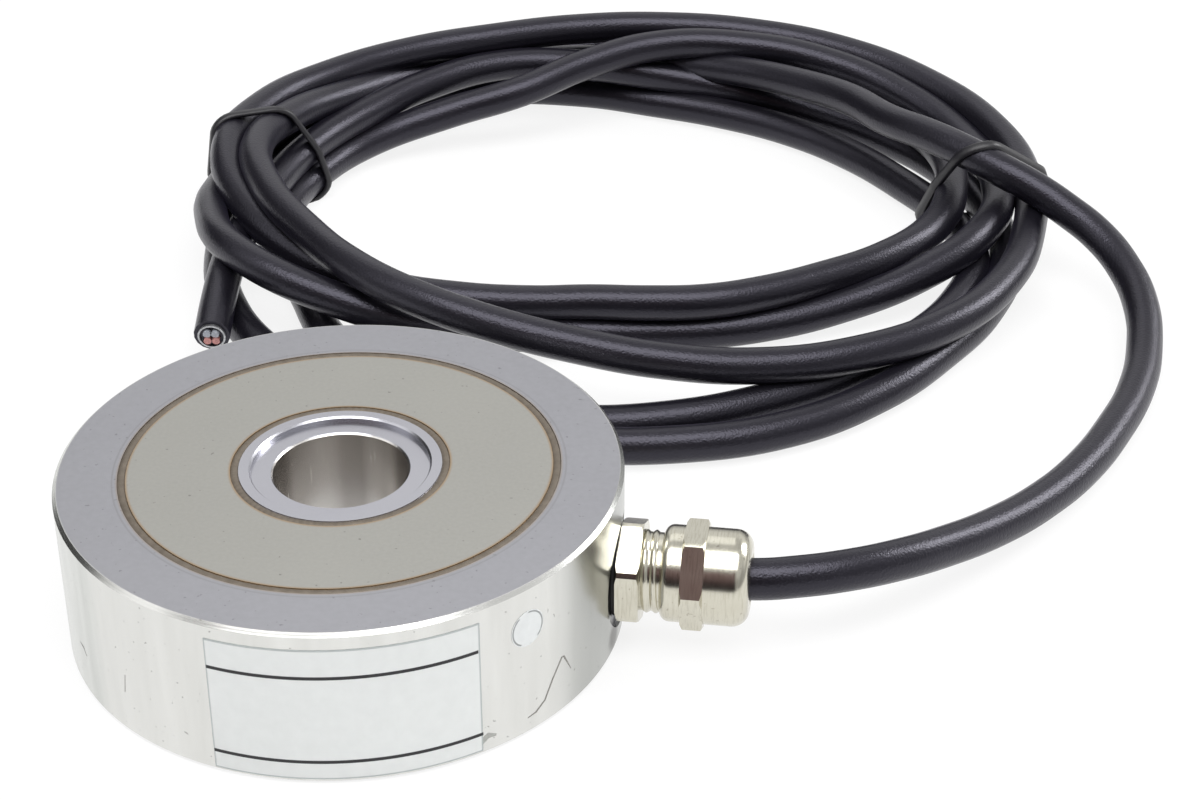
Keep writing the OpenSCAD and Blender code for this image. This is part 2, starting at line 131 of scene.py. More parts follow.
def make_cable():
    data = bpy.data.curves.new("signal_cable", "CURVE")
    data.dimensions = "3D"
    data.bevel_depth = 1.0
    data.bevel_resolution = 6
    data.resolution_u = 8
    data.use_fill_caps = True
    route = LEAD + coil_points(2) + TAIL
    spline = data.splines.new("BEZIER")
    spline.bezier_points.add(len(route) - 1)
    for bezier, point in zip(spline.bezier_points, route):
        bezier.co = Vector(point) * MM
        bezier.radius = CABLE_R * MM
        bezier.handle_left_type = bezier.handle_right_type = "AUTO"
    cable = bpy.data.objects.new("signal_cable", data)
    bpy.context.scene.collection.objects.link(cable)
    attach(cable, "root")
    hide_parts("cable_lead", "cable_coil", "cable_tail")
    return cable


def add_mesh(name, verts, faces, material, smooth=True, stands_for=()):
    """A piece from vertices in millimetres, riding on the part."""
    mesh = bpy.data.meshes.new(name)
    mesh.from_pydata([tuple(c * MM for c in v) for v in verts], [], faces)
    mesh.validate()
    mesh.update()
    for polygon in mesh.polygons:
        polygon.use_smooth = smooth
    mesh.materials.append(material)
    piece = bpy.data.objects.new(name, mesh)
    bpy.context.scene.collection.objects.link(piece)
    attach(piece, "root")
    if stands_for:
        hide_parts(*stands_for)
    return piece


# Materials: sockets that go by number, because several share a name.
# A Mix node has one pair for colours and another for plain values.
VALUE, LOW, HIGH, TO_LOW, TO_HIGH = range(5)
SHARE, UNDER, OVER, MIXED = 0, 6, 7, 2
VALUE_UNDER, VALUE_OVER = 2, 3
SOFT = {"interpolation_type": "SMOOTHSTEP"}


def colour(text):
    """sRGB hex to the linear colour that a shader takes."""
    parts = [int(text[i:i + 2], 16) / 255 for i in (1, 3, 5)]
    return tuple(c / 12.92 if c <= 0.04045 else ((c + 0.055) / 1.055) ** 2.4 for c in parts) + (1.0,)


def each(size):
    """Scale of a pattern whose features are this many millimetres across."""
    return 1 / (size * MM)


def add(tree, kind, inputs=None, out=0, **settings):
    """Adds a shader node with its settings and links, and gives back one of its outputs.

    Inputs are values or other nodes' outputs, by socket name or number.
    """
    node = tree.nodes.new("ShaderNode" + kind)
    for name, value in settings.items():
        setattr(node, name, value)
    for socket, value in (inputs or {}).items():
        if isinstance(value, bpy.types.NodeSocket):
            tree.links.new(value, node.inputs[socket])
        else:
            node.inputs[socket].default_value = value
    return node.outputs[out]


def new_material(name, **sockets):
    """A material with the values that are the same all over it set on its shader."""
    material = bpy.data.materials.new(name)
    material.use_nodes = True
    shader = material.node_tree.nodes["Principled BSDF"]
    for socket, value in sockets.items():
        shader.inputs[socket.replace("_", " ")].default_value = value
    return material, material.node_tree, shader


def place(tree):
    """A point on the part, in metres: its place, its distance from the bore's axis, and X, Y and Z."""
    here = add(tree, "TexCoord", out="Object")
    axes = add(tree, "SeparateXYZ", {0: here}).node.outputs
    flat = add(tree, "CombineXYZ", {0: axes[0], 1: axes[1]})
    radius = add(tree, "VectorMath", {0: flat}, out="Value", operation="LENGTH")
    return here, radius, axes


def coat(tree, tone, mask, over, strength=1.0):
    """Lays a colour over the tone where the mask is on, this strongly."""
    share = add(tree, "Math", {0: mask, 1: strength}, operation="MULTIPLY")
    return add(tree, "Mix", {SHARE: share, UNDER: tone, OVER: over}, out=MIXED, data_type="RGBA")


def band(tree, value, low, high, soft):
    """1 between low and high, 0 outside them."""
    rise = add(tree, "MapRange", {VALUE: value, LOW: low - soft, HIGH: low + soft}, **SOFT)
    fall = add(tree, "MapRange", {VALUE: value, LOW: high + soft, HIGH: high - soft}, **SOFT)
    return add(tree, "Math", {0: rise, 1: fall}, operation="MULTIPLY")


def ring_band(tree, radius, low, high, soft):
    """1 where the radius is between two others, which are given in millimetres."""
    return band(tree, radius, low * MM, high * MM, soft * MM)


def side(tree, here, radius, angle, start, full):
    """A soft strip up the ring, by the cosine of how far round it is: 0 at start and 1 at full."""
    turned = math.radians(angle)
    along = add(tree, "VectorMath", {0: here, 1: (math.cos(turned), math.sin(turned), 0)}, out="Value",
                operation="DOT_PRODUCT")
    facing = add(tree, "Math", {0: along, 1: radius}, operation="DIVIDE")
    return add(tree, "MapRange", {VALUE: facing, LOW: start, HIGH: full}, **SOFT)


def spot(tree, here, x, y, z, radius, soft):
    """1 within a radius of a place, all in millimetres."""
    gap = add(tree, "VectorMath", {0: here, 1: (x * MM, y * MM, z * MM)}, out="Value", operation="DISTANCE")
    return add(tree, "MapRange", {VALUE: gap, LOW: (radius + soft) * MM, HIGH: (radius - soft) * MM}, **SOFT)


def specks_on(tree, here, size, start, full):
    """Pits, dust or nicks of this size in millimetres, where a fine noise rises from start to full."""
    fine = add(tree, "TexNoise", {"Vector": here, "Scale": each(size), "Detail": 1})
    return add(tree, "MapRange", {VALUE: fine, LOW: start, HIGH: full}, **SOFT)


def turned_stainless():
    """Stainless steel, turned: satin grey on the flats, bright and streaked on the wall, darker in the bore.

    Grain and pits are drawn about 1 mm across, several times the real ones, so that they show.
    """
    material, tree, shader = new_material("stainless_steel_turned", Metallic=1.0)
    here, radius, axes = place(tree)
    wall = add(tree, "MapRange", {VALUE: radius, LOW: 45.2 * MM, HIGH: 45.4 * MM}, **SOFT)
    hub = add(tree, "MapRange", {VALUE: radius, LOW: 18.6 * MM, HIGH: 18.4 * MM}, **SOFT)
    bore = add(tree, "MapRange", {VALUE: radius, LOW: 11.3 * MM, HIGH: 11.1 * MM}, **SOFT)
    grain = add(tree, "TexNoise", {"Vector": here, "Scale": each(1.11), "Detail": 3})
    cloud = add(tree, "TexNoise", {"Vector": here, "Scale": each(22.2)})
    specks = specks_on(tree, here, 0.769, 0.73, 0.77)
    # Flats: even grey with small pits
    tone = coat(tree, colour("#9E9EA3"), grain, colour("#AEAEB4"))
    tone = coat(tree, tone, cloud, colour("#B2B2B6"), 0.5)
    tone = coat(tree, tone, specks, colour("#6F6E70"), 0.45)
    # Faint line outside the outer weld, left by the tool
    tone = coat(tree, tone, ring_band(tree, radius, 36.4, 36.7, 0.1), colour("#8C8B8C"), 0.35)
    # Wall: wiped, so the streaks run up and down
    upright = add(tree, "Mapping", {"Vector": here, "Scale": (1.0, 1.0, 0.12)})
    streak = add(tree, "TexNoise", {"Vector": upright, "Scale": each(3.85), "Detail": 3})
    wall_tone = coat(tree, colour("#D3D3CF"), streak, colour("#E9E9E6"))
    # More streaked on the left, and greyer beside the gland, which is a painted reflection of the gland's
    # dark in the wall
    streaked = coat(tree, colour("#B4B6B2"), streak, colour("#E0E2DE"))
    wall_tone = coat(tree, wall_tone, side(tree, here, radius, 198, 0.85, 0.9), streaked, 0.8)
    wall_tone = coat(tree, wall_tone, side(tree, here, radius, -5, 0.866, 0.97), colour("#9EA09D"), 0.7)
    wall_tone = coat(tree, wall_tone, specks, colour("#8B8A85"), 0.5)
    # Painted shadow, low on the wall where the gland meets it
    wall_tone = coat(tree, wall_tone, spot(tree, here, 45.4, -6.4, 3, 2.4, 1.2), colour("#55534F"), 0.8)
    tone = coat(tree, tone, wall, wall_tone)
    tone = coat(tree, tone, hub, coat(tree, colour("#B5B5BC"), cloud, colour("#C3C3C9")))
    # Bore: two painted highlight bands up its far side, standing in for reflections, and short bright
    # scratches
    bright = add(tree, "Math", {0: side(tree, here, radius, 130, 0.88, 1.0),
                                1: side(tree, here, radius, 66, 0.93, 1.0)}, operation="MAXIMUM")
    bore_tone = coat(tree, colour("#AEAAA6"), streak, colour("#C0BCB8"))
    bore_tone = coat(tree, bore_tone, bright, colour("#DCD9D5"))
    bore_tone = coat(tree, bore_tone, specks_on(tree, upright, 1.11, 0.70, 0.73), colour("#F2F0EC"))
    tone = coat(tree, tone, bore, bore_tone)
    # Heat tint beside the outer weld, on the top face only
    top = add(tree, "MapRange", {VALUE: axes[2], LOW: 27.5 * MM, HIGH: 27.8 * MM}, **SOFT)
    heat = add(tree, "Math", {0: top, 1: 0.35}, operation="MULTIPLY")
    tone = coat(tree, tone, ring_band(tree, radius, 34.5, 35.9, 0.3), colour("#A8884F"), heat)
    tree.links.new(tone, shader.inputs["Base Color"])
    rough = add(tree, "MapRange", {VALUE: grain, TO_LOW: 0.32, TO_HIGH: 0.42})
    rough = add(tree, "Mix", {SHARE: wall, VALUE_UNDER: rough, VALUE_OVER: 0.24}, data_type="FLOAT")
    rough = add(tree, "Mix", {SHARE: hub, VALUE_UNDER: rough, VALUE_OVER: 0.27}, data_type="FLOAT")
    tree.links.new(rough, shader.inputs["Roughness"])
    # Turning marks, 0.35 mm from one to the next
    waves = add(tree, "Math", {0: radius, 1: 2 * math.pi * each(0.35)}, operation="MULTIPLY")
    marks = add(tree, "Math", {0: waves}, operation="SINE")
    bump = add(tree, "Bump", {"Height": marks, "Strength": 0.05, "Distance": 0.02 * MM})
    tree.links.new(bump, shader.inputs["Normal"])
    return material


def rolled_stainless():
    """Stainless sheet, cold rolled and pickled: warm, matt and faintly clouded, with small dark pits.

    The mill grain is finer than a pixel, and is drawn 0.7 mm across so that it shows.
    """
    material, tree, shader = new_material("stainless_sheet_pickled", Metallic=1.0, Roughness=0.5)
    here, radius, _ = place(tree)
    grain = add(tree, "TexNoise", {"Vector": here, "Scale": each(0.667)})
    cloud = add(tree, "TexNoise", {"Vector": here, "Scale": each(18.2), "Detail": 3})
    tone = coat(tree, colour("#A4A39E"), grain, colour("#B2B1AC"))
    tone = coat(tree, tone, cloud, colour("#B4B3AD"), 0.6)
    tone = coat(tree, tone, specks_on(tree, here, 0.909, 0.75, 0.78), colour("#6E6C68"), 0.5)
    # Heat tint along both welds
    outer = add(tree, "MapRange", {VALUE: radius, LOW: 33.9 * MM, HIGH: 34.6 * MM}, **SOFT)
    inner = add(tree, "MapRange", {VALUE: radius, LOW: 18.3 * MM, HIGH: 17.6 * MM}, **SOFT)
    heated = add(tree, "Math", {0: outer, 1: inner}, operation="MAXIMUM")
    tree.links.new(coat(tree, tone, heated, colour("#A8824A"), 0.7), shader.inputs["Base Color"])
    return material


def weld_metal():
    """Laser weld, left as it set: brown-grey and dull, mottled every 1.4 mm."""
    material, tree, shader = new_material("stainless_weld_as_set", Metallic=0.6, Roughness=0.6)
    here = add(tree, "TexCoord", out="Object")
    mottle = add(tree, "TexNoise", {"Vector": here, "Scale": each(1.43), "Detail": 3})
    tree.links.new(coat(tree, colour("#5E564C"), mottle, colour("#7C7368")), shader.inputs["Base Color"])
    return material


def nickel_plate():
    """Brass, turned, milled and nickel plated: bright and slightly warm, with faint clouds from handling.

    The lines that the tool left run round the gland. They are drawn 0.28 mm apart, so that they show.
    """
    material, tree, shader = new_material("brass_nickel_plated", Metallic=1.0)
    here = add(tree, "TexCoord", out="Object")
    cloud = add(tree, "TexNoise", {"Vector": here, "Scale": each(2.86), "Detail": 3})
    along = add(tree, "Mapping", {"Vector": here, "Scale": (12.0, 1.0, 1.0)})
    tool = add(tree, "TexNoise", {"Vector": along, "Scale": each(3.33)})
    lines = add(tree, "MapRange", {VALUE: tool, LOW: 0.45, HIGH: 0.7}, **SOFT)
    tone = coat(tree, colour("#C9C5B6"), cloud, colour("#D9D6C8"))
    tone = coat(tree, tone, lines, colour("#A9A392"), 0.3)
    tone = coat(tree, tone, specks_on(tree, here, 0.667, 0.70, 0.75), colour("#8E8678"), 0.4)
    tree.links.new(tone, shader.inputs["Base Color"])
    rough = add(tree, "MapRange", {VALUE: cloud, TO_LOW: 0.15, TO_HIGH: 0.23})
    tree.links.new(rough, shader.inputs["Roughness"])
    return material


def cable_jacket():
    """Polyurethane, extruded: satin blue-black with a fine leathery grain and a cool sheen.

    The grain is about 0.3 mm on the real one, and is drawn 0.43 mm across so that it shows.
    """
    material, tree, shader = new_material(
        "polyurethane_extruded_black", Roughness=0.3, Specular_IOR_Level=0.6,
        Specular_Tint=colour("#DAD7EA"), Sheen_Weight=0.05, Sheen_Roughness=0.5, Sheen_Tint=colour("#8C86B0"))
    here = add(tree, "TexCoord", out="Object")
    cloud = add(tree, "TexNoise", {"Vector": here, "Scale": each(16.7)})
    tree.links.new(coat(tree, colour("#0D0C10"), cloud, colour("#17161B")), shader.inputs["Base Color"])
    grain = add(tree, "TexNoise", {"Vector": here, "Scale": each(0.435)})
    bump = add(tree, "Bump", {"Height": grain, "Strength": 0.55, "Distance": 0.15 * MM})
    tree.links.new(bump, shader.inputs["Normal"])
    return material


def plain(name, low, high, size, grain=0.1, **sockets):
    """An even material: a tone between two near colours and a grain, both this many millimetres across."""
    material, tree, shader = new_material(name, **sockets)
    here = add(tree, "TexCoord", out="Object")
    pattern = add(tree, "TexNoise", {"Vector": here, "Scale": each(size), "Detail": 3})
    tree.links.new(coat(tree, colour(low), pattern, colour(high)), shader.inputs["Base Color"])
    bump = add(tree, "Bump", {"Height": pattern, "Strength": grain, "Distance": 0.1 * MM})
    tree.links.new(bump, shader.inputs["Normal"])
    return material


def label_film():
    """Polyester label film, printed matt silver-white: even, with a painted grey shade along its edge."""
    material, tree, shader = new_material("polyester_label_film", Roughness=0.35)
    here = add(tree, "TexCoord", out="Object")
    share = add(tree, "SeparateXYZ", {0: add(tree, "TexCoord", out="Generated")}).node.outputs
    # Painted shade: a thin grey line round the film's edge
    inside = add(tree, "Math", {0: band(tree, share[0], 0.005, 0.995, 0.002),
                                1: band(tree, share[2], 0.01, 0.99, 0.004)}, operation="MULTIPLY")
    cloud = add(tree, "TexNoise", {"Vector": here, "Scale": each(2), "Detail": 3})
    tone = coat(tree, colour("#D5D8D7"), cloud, colour("#DEE1E0"))
    tree.links.new(coat(tree, colour("#A9AFAF"), inside, tone), shader.inputs["Base Color"])
    return material


def sticker_film():
    """Paper sticker, die cut: white, with a thin grey ring near its edge, broken as a pen leaves it."""
    material, tree, shader = new_material("paper_sticker_white", Roughness=0.5)
    here = add(tree, "TexCoord", out="Object")
    middle = Vector(on_wall(*STICKER_AT, 0)) * MM
    gap = add(tree, "VectorMath", {0: here, 1: tuple(middle)}, out="Value", operation="DISTANCE")
    pressed = add(tree, "TexNoise", {"Vector": here, "Scale": each(2.38), "Detail": 1})
    inked = add(tree, "MapRange", {VALUE: pressed, LOW: 0.36, HIGH: 0.46, TO_HIGH: 0.8}, **SOFT)
    fibre = add(tree, "TexNoise", {"Vector": here, "Scale": each(1.11), "Detail": 3})
    paper = coat(tree, colour("#D0D3D3"), fibre, colour("#DBDEDE"))
    tone = coat(tree, paper, ring_band(tree, gap, 2.8, 3.06, 0.06), colour("#696D6D"), inked)
    tree.links.new(tone, shader.inputs["Base Color"])
    return material


def cut_core_ends():
    """Polyethylene insulation, extruded and cut with pliers: silver-grey above, pink below, and dusty."""
    material, tree, shader = new_material("polyethylene_core_cut", Roughness=0.5)
    here, _, axes = place(tree)
    upper = add(tree, "MapRange", {VALUE: axes[2], LOW: 7.2 * MM, HIGH: 7.8 * MM}, **SOFT)
    pair = coat(tree, colour("#C4827C"), upper, colour("#9FA6B0"))
    dust = add(tree, "TexNoise", {"Vector": here, "Scale": each(0.4), "Detail": 3})
    tree.links.new(coat(tree, pair, dust, colour("#6C6668"), 0.5), shader.inputs["Base Color"])
    return material


def dress(material, *names):
    """Gives CAD nodes their material."""
    for name in names:
        mesh = nodes[name].data
        if mesh.materials:
            for i in range(len(mesh.materials)):
                mesh.materials[i] = material
        else:
            mesh.materials.append(material)


# Welds: a low bead that fills each groove, with its crown in the middle and fine ripples along it
BEAD_ACROSS = (-0.64, -0.4, 0, 0.4, 0.64)
BEAD_RISE = (0.0, 0.17, 0.24, 0.17, 0.0)
BEAD_RIPPLES = 96


def weld_bead(name, radius, floor_z, up, material):
    cuts = 5 * BEAD_RIPPLES
    verts, faces = [], []
    for i in range(cuts):
        angle = 2 * math.pi * i / cuts
        ripple = 1 + 0.18 * math.sin(angle * BEAD_RIPPLES)
        for offset, rise in zip(BEAD_ACROSS, BEAD_RISE):
            r = radius + offset
            verts.append((r * math.cos(angle), r * math.sin(angle), floor_z + up * rise * ripple))
    n = len(BEAD_ACROSS)
    for i in range(cuts):
        for k in range(n - 1):
            a, b = i * n + k, ((i + 1) % cuts) * n + k
            faces.append((a, b, b + 1, a + 1) if up < 0 else (a, a + 1, b + 1, b))
    return add_mesh(name, verts, faces, material)


# Thin films and marks on the wall, given by degrees round the ring and height
def on_wall(angle, height, lift):
    r = RING_R + lift
    return (r * math.cos(math.radians(angle)), r * math.sin(math.radians(angle)), height)


def wall_film(name, left, right, low, high, lift, thick, material):
    """A rectangular film bent round the wall, with its own thickness."""
    cuts = 48
    verts, faces = [], []
    for i in range(cuts + 1):
        angle = left + (right - left) * i / cuts
        for depth in (lift, lift + thick):
            for height in (low, high):
                verts.append(on_wall(angle, height, depth))
    for i in range(cuts):
        a, b = 4 * i, 4 * i + 4
        faces += [(a + 2, b + 2, b + 3, a + 3), (a + 3, b + 3, b + 1, a + 1), (a + 2, a, b, b + 2)]
    faces += [(0, 2, 3, 1), (4 * cuts, 4 * cuts + 1, 4 * cuts + 3, 4 * cuts + 2)]
    return add_mesh(name, verts, faces, material, smooth=False)


def wall_disc(name, angle, height, radius, lift, material):
    """A round film bent round the wall, with its edge brought down almost to the steel."""
    sides, gap = 48, 0.005
    verts, faces = [on_wall(angle, height, lift)], []
    for k in range(sides):
        t = 2 * math.pi * k / sides
        degrees = math.degrees(radius * math.cos(t) / RING_R)
        verts.append(on_wall(angle + degrees, height + radius * math.sin(t), lift))
    outward = Vector(on_wall(angle, 0, lift)).normalized()
    for k in range(sides):
        verts.append(tuple(Vector(verts[1 + k]) - outward * (lift - gap)))
    for k in range(sides):
        j = (k + 1) % sides
        faces.append((0, 1 + k, 1 + j))
        faces.append((1 + k, 1 + sides + k, 1 + sides + j, 1 + j))
    return add_mesh(name, verts, faces, material, smooth=False)


def wall_mark(name, points, width, material):
    """A scratch or stain line along points on the wall, narrower at its ends."""
    lift, end_share = 0.012, 0.35
    last = len(points) - 1
    verts, faces = [], []
    for i, (angle, height) in enumerate(points):
        before, after = points[max(i - 1, 0)], points[min(i + 1, last)]
        run = (after[0] - before[0]) * math.pi / 180 * RING_R
        along = Vector((run, after[1] - before[1])).normalized()
        size = width * (end_share if i in (0, last) else 1.0) / 2
        for hand in (-1, 1):
            degrees = math.degrees(-along.y * hand * size / RING_R)
            verts.append(on_wall(angle + degrees, height + along.x * hand * size, lift))
        if i:
            faces.append((2 * i - 2, 2 * i, 2 * i + 1, 2 * i - 1))
    return add_mesh(name, verts, faces, material, smooth=False)


# Ties: a thin band drawn tight round every strand that crosses its plane
TIE_THICK = 1.0
TIE_WIDE = 2.2
TIE_CLEARANCE = 0.02
TIE_REACH = 30
# The band's section, as shares of its thickness and of its width
TIE_SECTION = ((0, -0.5), (0.6, -0.5), (1, -0.3), (1, 0.3), (0.6, 0.5), (0, 0.5))


def strands_at(route, at, side_way, up):
    """Where the cable crosses the plane through at along side_way and up: its place there and its slant."""
    normal = side_way.cross(up)
    found = []
    for a, b in zip(route, route[1:]):
        a, b = Vector(a) - at, Vector(b) - at
        da, db = a.dot(normal), b.dot(normal)
        if (da < 0) != (db < 0):
            point = a.lerp(b, da / (da - db))
            along = (b - a).normalized()
            if abs(point.dot(side_way)) < TIE_REACH:
                found.append((point.dot(side_way), point.dot(up), along.dot(side_way), along.dot(up),
                              abs(along.dot(normal))))
    return found


def strand_outline(strand, radius):
    """The strand's section in the plane: an ellipse drawn out the way that the strand slants."""
    x, y, lean_x, lean_y, square = strand
    long = radius / max(square, 0.5)
    size = math.hypot(lean_x, lean_y) or 1.0
    ux, uy = lean_x / size, lean_y / size
    outline = []
    for k in range(32):
        t = 2 * math.pi * k / 32
        p, q = long * math.cos(t), radius * math.sin(t)
        outline.append((x + p * ux - q * uy, y + p * uy + q * ux))
    return outline


def hull_of(points):
    """Convex outline of points in a plane, counter-clockwise."""
    points = sorted(set(points))
    halves = []
    for ordered in (points, points[::-1]):
        chain = []
        for p in ordered:
            while len(chain) > 1 and ((chain[-1][0] - chain[-2][0]) * (p[1] - chain[-2][1])
                                      - (chain[-1][1] - chain[-2][1]) * (p[0] - chain[-2][0])) <= 0:
                chain.pop()
            chain.append(p)
        halves += chain[:-1]
    return halves


def reach(outline, middle, angle):
    """Where a ray from the middle leaves the outline."""
    ray = Vector((math.cos(angle), math.sin(angle)))
    best = 0.0
    for p, q in zip(outline, outline[1:] + outline[:1]):
        p, q = Vector(p) - middle, Vector(q) - middle
        edge = q - p
        cross = ray.x * edge.y - ray.y * edge.x
        if abs(cross) < 1e-9:
            continue
        t = (p.x * edge.y - p.y * edge.x) / cross
        s = (p.x * ray.y - p.y * ray.x) / cross
        if t > 0 and -1e-6 <= s <= 1 + 1e-6:
            best = max(best, t)
    return middle + ray * best


def make_tie(name, at, turn, lean, material, stands_for):
    """A tie through this place on the floor, turned from X and leaning towards -Y, both in degrees."""
    at = Vector((at[0], at[1], 0))
    turn, lean = math.radians(turn), math.radians(lean)
    side_way = Vector((math.cos(turn), math.sin(turn), 0))
    up = Vector((math.sin(turn) * math.sin(lean), -math.cos(turn) * math.sin(lean), math.cos(lean)))
    normal = side_way.cross(up)
    strands = strands_at(LEAD + coil_points(8) + TAIL, at, side_way, up)
    inside, outside = (hull_of([p for strand in strands for p in strand_outline(strand, CABLE_R + gap)])
                       for gap in (TIE_CLEARANCE, TIE_THICK))
    middle = sum((Vector(p) for p in inside), Vector((0, 0))) / len(inside)
    cuts, n = 96, len(TIE_SECTION)
    verts, faces = [], []
    for i in range(cuts):
        angle = 2 * math.pi * i / cuts
        inner, outer = reach(inside, middle, angle), reach(outside, middle, angle)
        for depth, edge in TIE_SECTION:
            flat = inner.lerp(outer, depth)
            corner = at + side_way * flat.x + up * flat.y + normal * edge * TIE_WIDE
            verts.append((corner.x, corner.y, max(corner.z, 0.0)))
    for i in range(cuts):
        here, beyond = i * n, ((i + 1) % cuts) * n
        for k in range(n):
            j = (k + 1) % n
            faces.append((here + k, beyond + k, beyond + j, here + j))
    return add_mesh(name, verts, faces, material, stands_for=(stands_for,))


# Thread that shows on the gland's neck, between its hexagon and the nut
THREAD_PITCH = 1.5
THREAD_FROM, THREAD_TO = 49.6, 52.7
THREAD_CORE, THREAD_CREST = 6.44, 6.8
# One turn's section: how far along from its middle, and how far out
THREAD_SECTION = ((-0.62, THREAD_CORE), (-0.12, THREAD_CREST), (0.12, THREAD_CREST), (0.62, THREAD_CORE))


def make_thread(material):
    length = THREAD_TO - THREAD_FROM
    turns = length / THREAD_PITCH
    steps = int(48 * turns)
    verts, faces = [], []
    for i in range(steps + 1):
        angle = 2 * math.pi * turns * i / steps
        x = THREAD_FROM + length * i / steps
        for dx, r in THREAD_SECTION:
            held = min(max(x + dx, THREAD_FROM), THREAD_TO)
            verts.append((held, r * math.cos(angle), GLAND_Z + r * math.sin(angle)))
    for i in range(steps):
        for k in range(3):
            a = 4 * i + k
            faces.append((a, a + 4, a + 5, a + 1))
    return add_mesh("gland_thread", verts, faces, material)


# Stage: a white floor and plain soft light
def grey(level):
    return (level, level, level, 1.0)


def make_floor():
    """Matt white paper, which camera and metal see as white."""
    material, tree, shader = new_material("paper_white_matt", Roughness=0.9, Base_Color=colour("#F4F4F4"))
    rays = add(tree, "LightPath").node.outputs
    seen = add(tree, "Math", {0: rays["Is Camera Ray"], 1: rays["Is Glossy Ray"]}, operation="MAXIMUM")
    seen = add(tree, "Math", {0: seen, 1: rays["Is Transmission Ray"]}, operation="MAXIMUM")
    # The paper is less bright under the ring, where less light gets in
    _, radius, _ = place(tree)
    open_share = add(tree, "MapRange", {VALUE: radius, LOW: 30 * MM, HIGH: 50 * MM,
                                        TO_LOW: 0.6, TO_HIGH: 0.85})
    share = add(tree, "Math", {0: seen, 1: open_share}, operation="MULTIPLY")
    glow = add(tree, "Emission", {"Color": grey(1), "Strength": 1.0})
    paper = add(tree, "MixShader", {0: share, 1: shader.outputs[0], 2: glow})
    tree.links.new(paper, tree.nodes["Material Output"].inputs[0])
    half = 4.0
    corners = [(-half, -half, 0), (half, -half, 0), (half, half, 0), (-half, half, 0)]
    mesh = bpy.data.meshes.new("floor")
    mesh.from_pydata(corners, [], [(0, 1, 2, 3)])
    mesh.materials.append(material)
    floor = bpy.data.objects.new("floor", mesh)
    bpy.context.scene.collection.objects.link(floor)


def degrees_of(tree, operation, *values):
    """The angle that this function gives, in degrees."""
    angle = add(tree, "Math", dict(enumerate(values)), operation=operation)
    return add(tree, "Math", {0: angle, 1: 180 / math.pi}, operation="MULTIPLY")


def make_sky():
    """White to the camera. To the part, a grey room with lighter and darker panels, which metal mirrors."""
    world = bpy.data.worlds.new("studio")
    bpy.context.scene.world = world
    world.use_nodes = True
    tree = world.node_tree
    sky = add(tree, "SeparateXYZ", {0: add(tree, "TexCoord", out="Generated")}).node.outputs
    # Degrees round the object, 0 in front and 90 on the right, and degrees above the horizon
    front = add(tree, "Math", {0: sky[1], 1: -1.0}, operation="MULTIPLY")
    turn = degrees_of(tree, "ARCTAN2", sky[0], front)
    height = degrees_of(tree, "ARCSINE", sky[2])

    def panel(tone, left, right, low, high, soft, over):
        across = band(tree, turn, left, right, soft)
        return coat(tree, tone, across, over, band(tree, height, low, high, soft))

    overhead = add(tree, "MapRange", {VALUE: height, LOW: 56, HIGH: 70}, **SOFT)
    raised = add(tree, "MapRange", {VALUE: height, LOW: 2, HIGH: 8}, **SOFT)
    far = add(tree, "MapRange", {VALUE: sky[1], LOW: -0.1, HIGH: 0.3}, **SOFT)
    tone = coat(tree, grey(0.42), overhead, grey(0.8))
    tone = coat(tree, tone, far, grey(0.6), raised)
    # Brightest low down on the far side, which the back of the ring's top mirrors
    tone = coat(tree, tone, far, grey(0.86), band(tree, height, 14, 38, 5))
    # A pale panel on the right, which the chamfer mirrors
    tone = panel(tone, 35, 125, 24, 66, 5, grey(0.65))
    # The photographer's side, which the round parts of the gland mirror as a band: dark, and maroon above
    higher = add(tree, "MapRange", {VALUE: height, LOW: 8, HIGH: 41}, **SOFT)
    viewer = coat(tree, (0.025, 0.02, 0.022, 1), higher, (0.19, 0.12, 0.125, 1))
    tone = panel(tone, -40, 26, -3, 45, 3, viewer)
    # A dark flat on the left, which the chamfer mirrors
    tone = panel(tone, -144, -92, -3, 36, 3, grey(0.04))
    tone = coat(tree, tone, add(tree, "LightPath", out="Is Camera Ray"), grey(1))
    back = tree.nodes["Background"]
    tree.links.new(tone, back.inputs[0])
    back.inputs[1].default_value = 1.0


# Softboxes: place, width and height in metres, and power in watts.
# The key lights from over the camera and gives the coil its long highlight.
# The right one is behind, and gives the lead its own.
SOFTBOXES = (("key_softbox", (0.05, -0.3, 1.1), 1.3, 0.8, 14.0),
             ("left_softbox", (-0.9, -0.2, 0.8), 0.6, 0.6, 1.0),
             ("right_softbox", (0.97, 0.68, 0.65), 0.4, 0.6, 7.0),
             ("far_softbox", (-0.2, 0.85, 1.1), 0.6, 0.6, 0.8))
LIT_PLACE = (0.03, 0.06, 0)


def make_lamps():
    for name, at, wide, tall, power in SOFTBOXES:
        lamp = bpy.data.lights.new(name, "AREA")
        lamp.shape = "RECTANGLE"
        lamp.size = wide
        lamp.size_y = tall
        lamp.energy = power
        holder = bpy.data.objects.new(name, lamp)
        holder.location = at
        holder.rotation_mode = "QUATERNION"
        holder.rotation_quaternion = (Vector(LIT_PLACE) - Vector(at)).to_track_quat("-Z", "Y")
        bpy.context.scene.collection.objects.link(holder)


make_camera()
cable = make_cable()
cable.data.materials.append(cable_jacket())
weld = weld_metal()
nickel = nickel_plate()
# Each plain material's number is the size of its mottling and grain in millimetres.
# The real grain is finer on most, and is drawn as coarse as it needs to show.
# Nitrile rubber, moulded: dull black
rubber = plain("nitrile_rubber_moulded", "#181819", "#202021", 1.1, Roughness=0.7)
# Nylon 66, moulded: black with a soft shine
nylon = plain("nylon_moulded_black", "#17161A", "#201F24", 0.833, Roughness=0.4)
# Nylon 66, moulded without pigment: milky white
nylon_white = plain("nylon_moulded_natural", "#D4D2C8", "#DFDDD5", 1.7, Roughness=0.45)
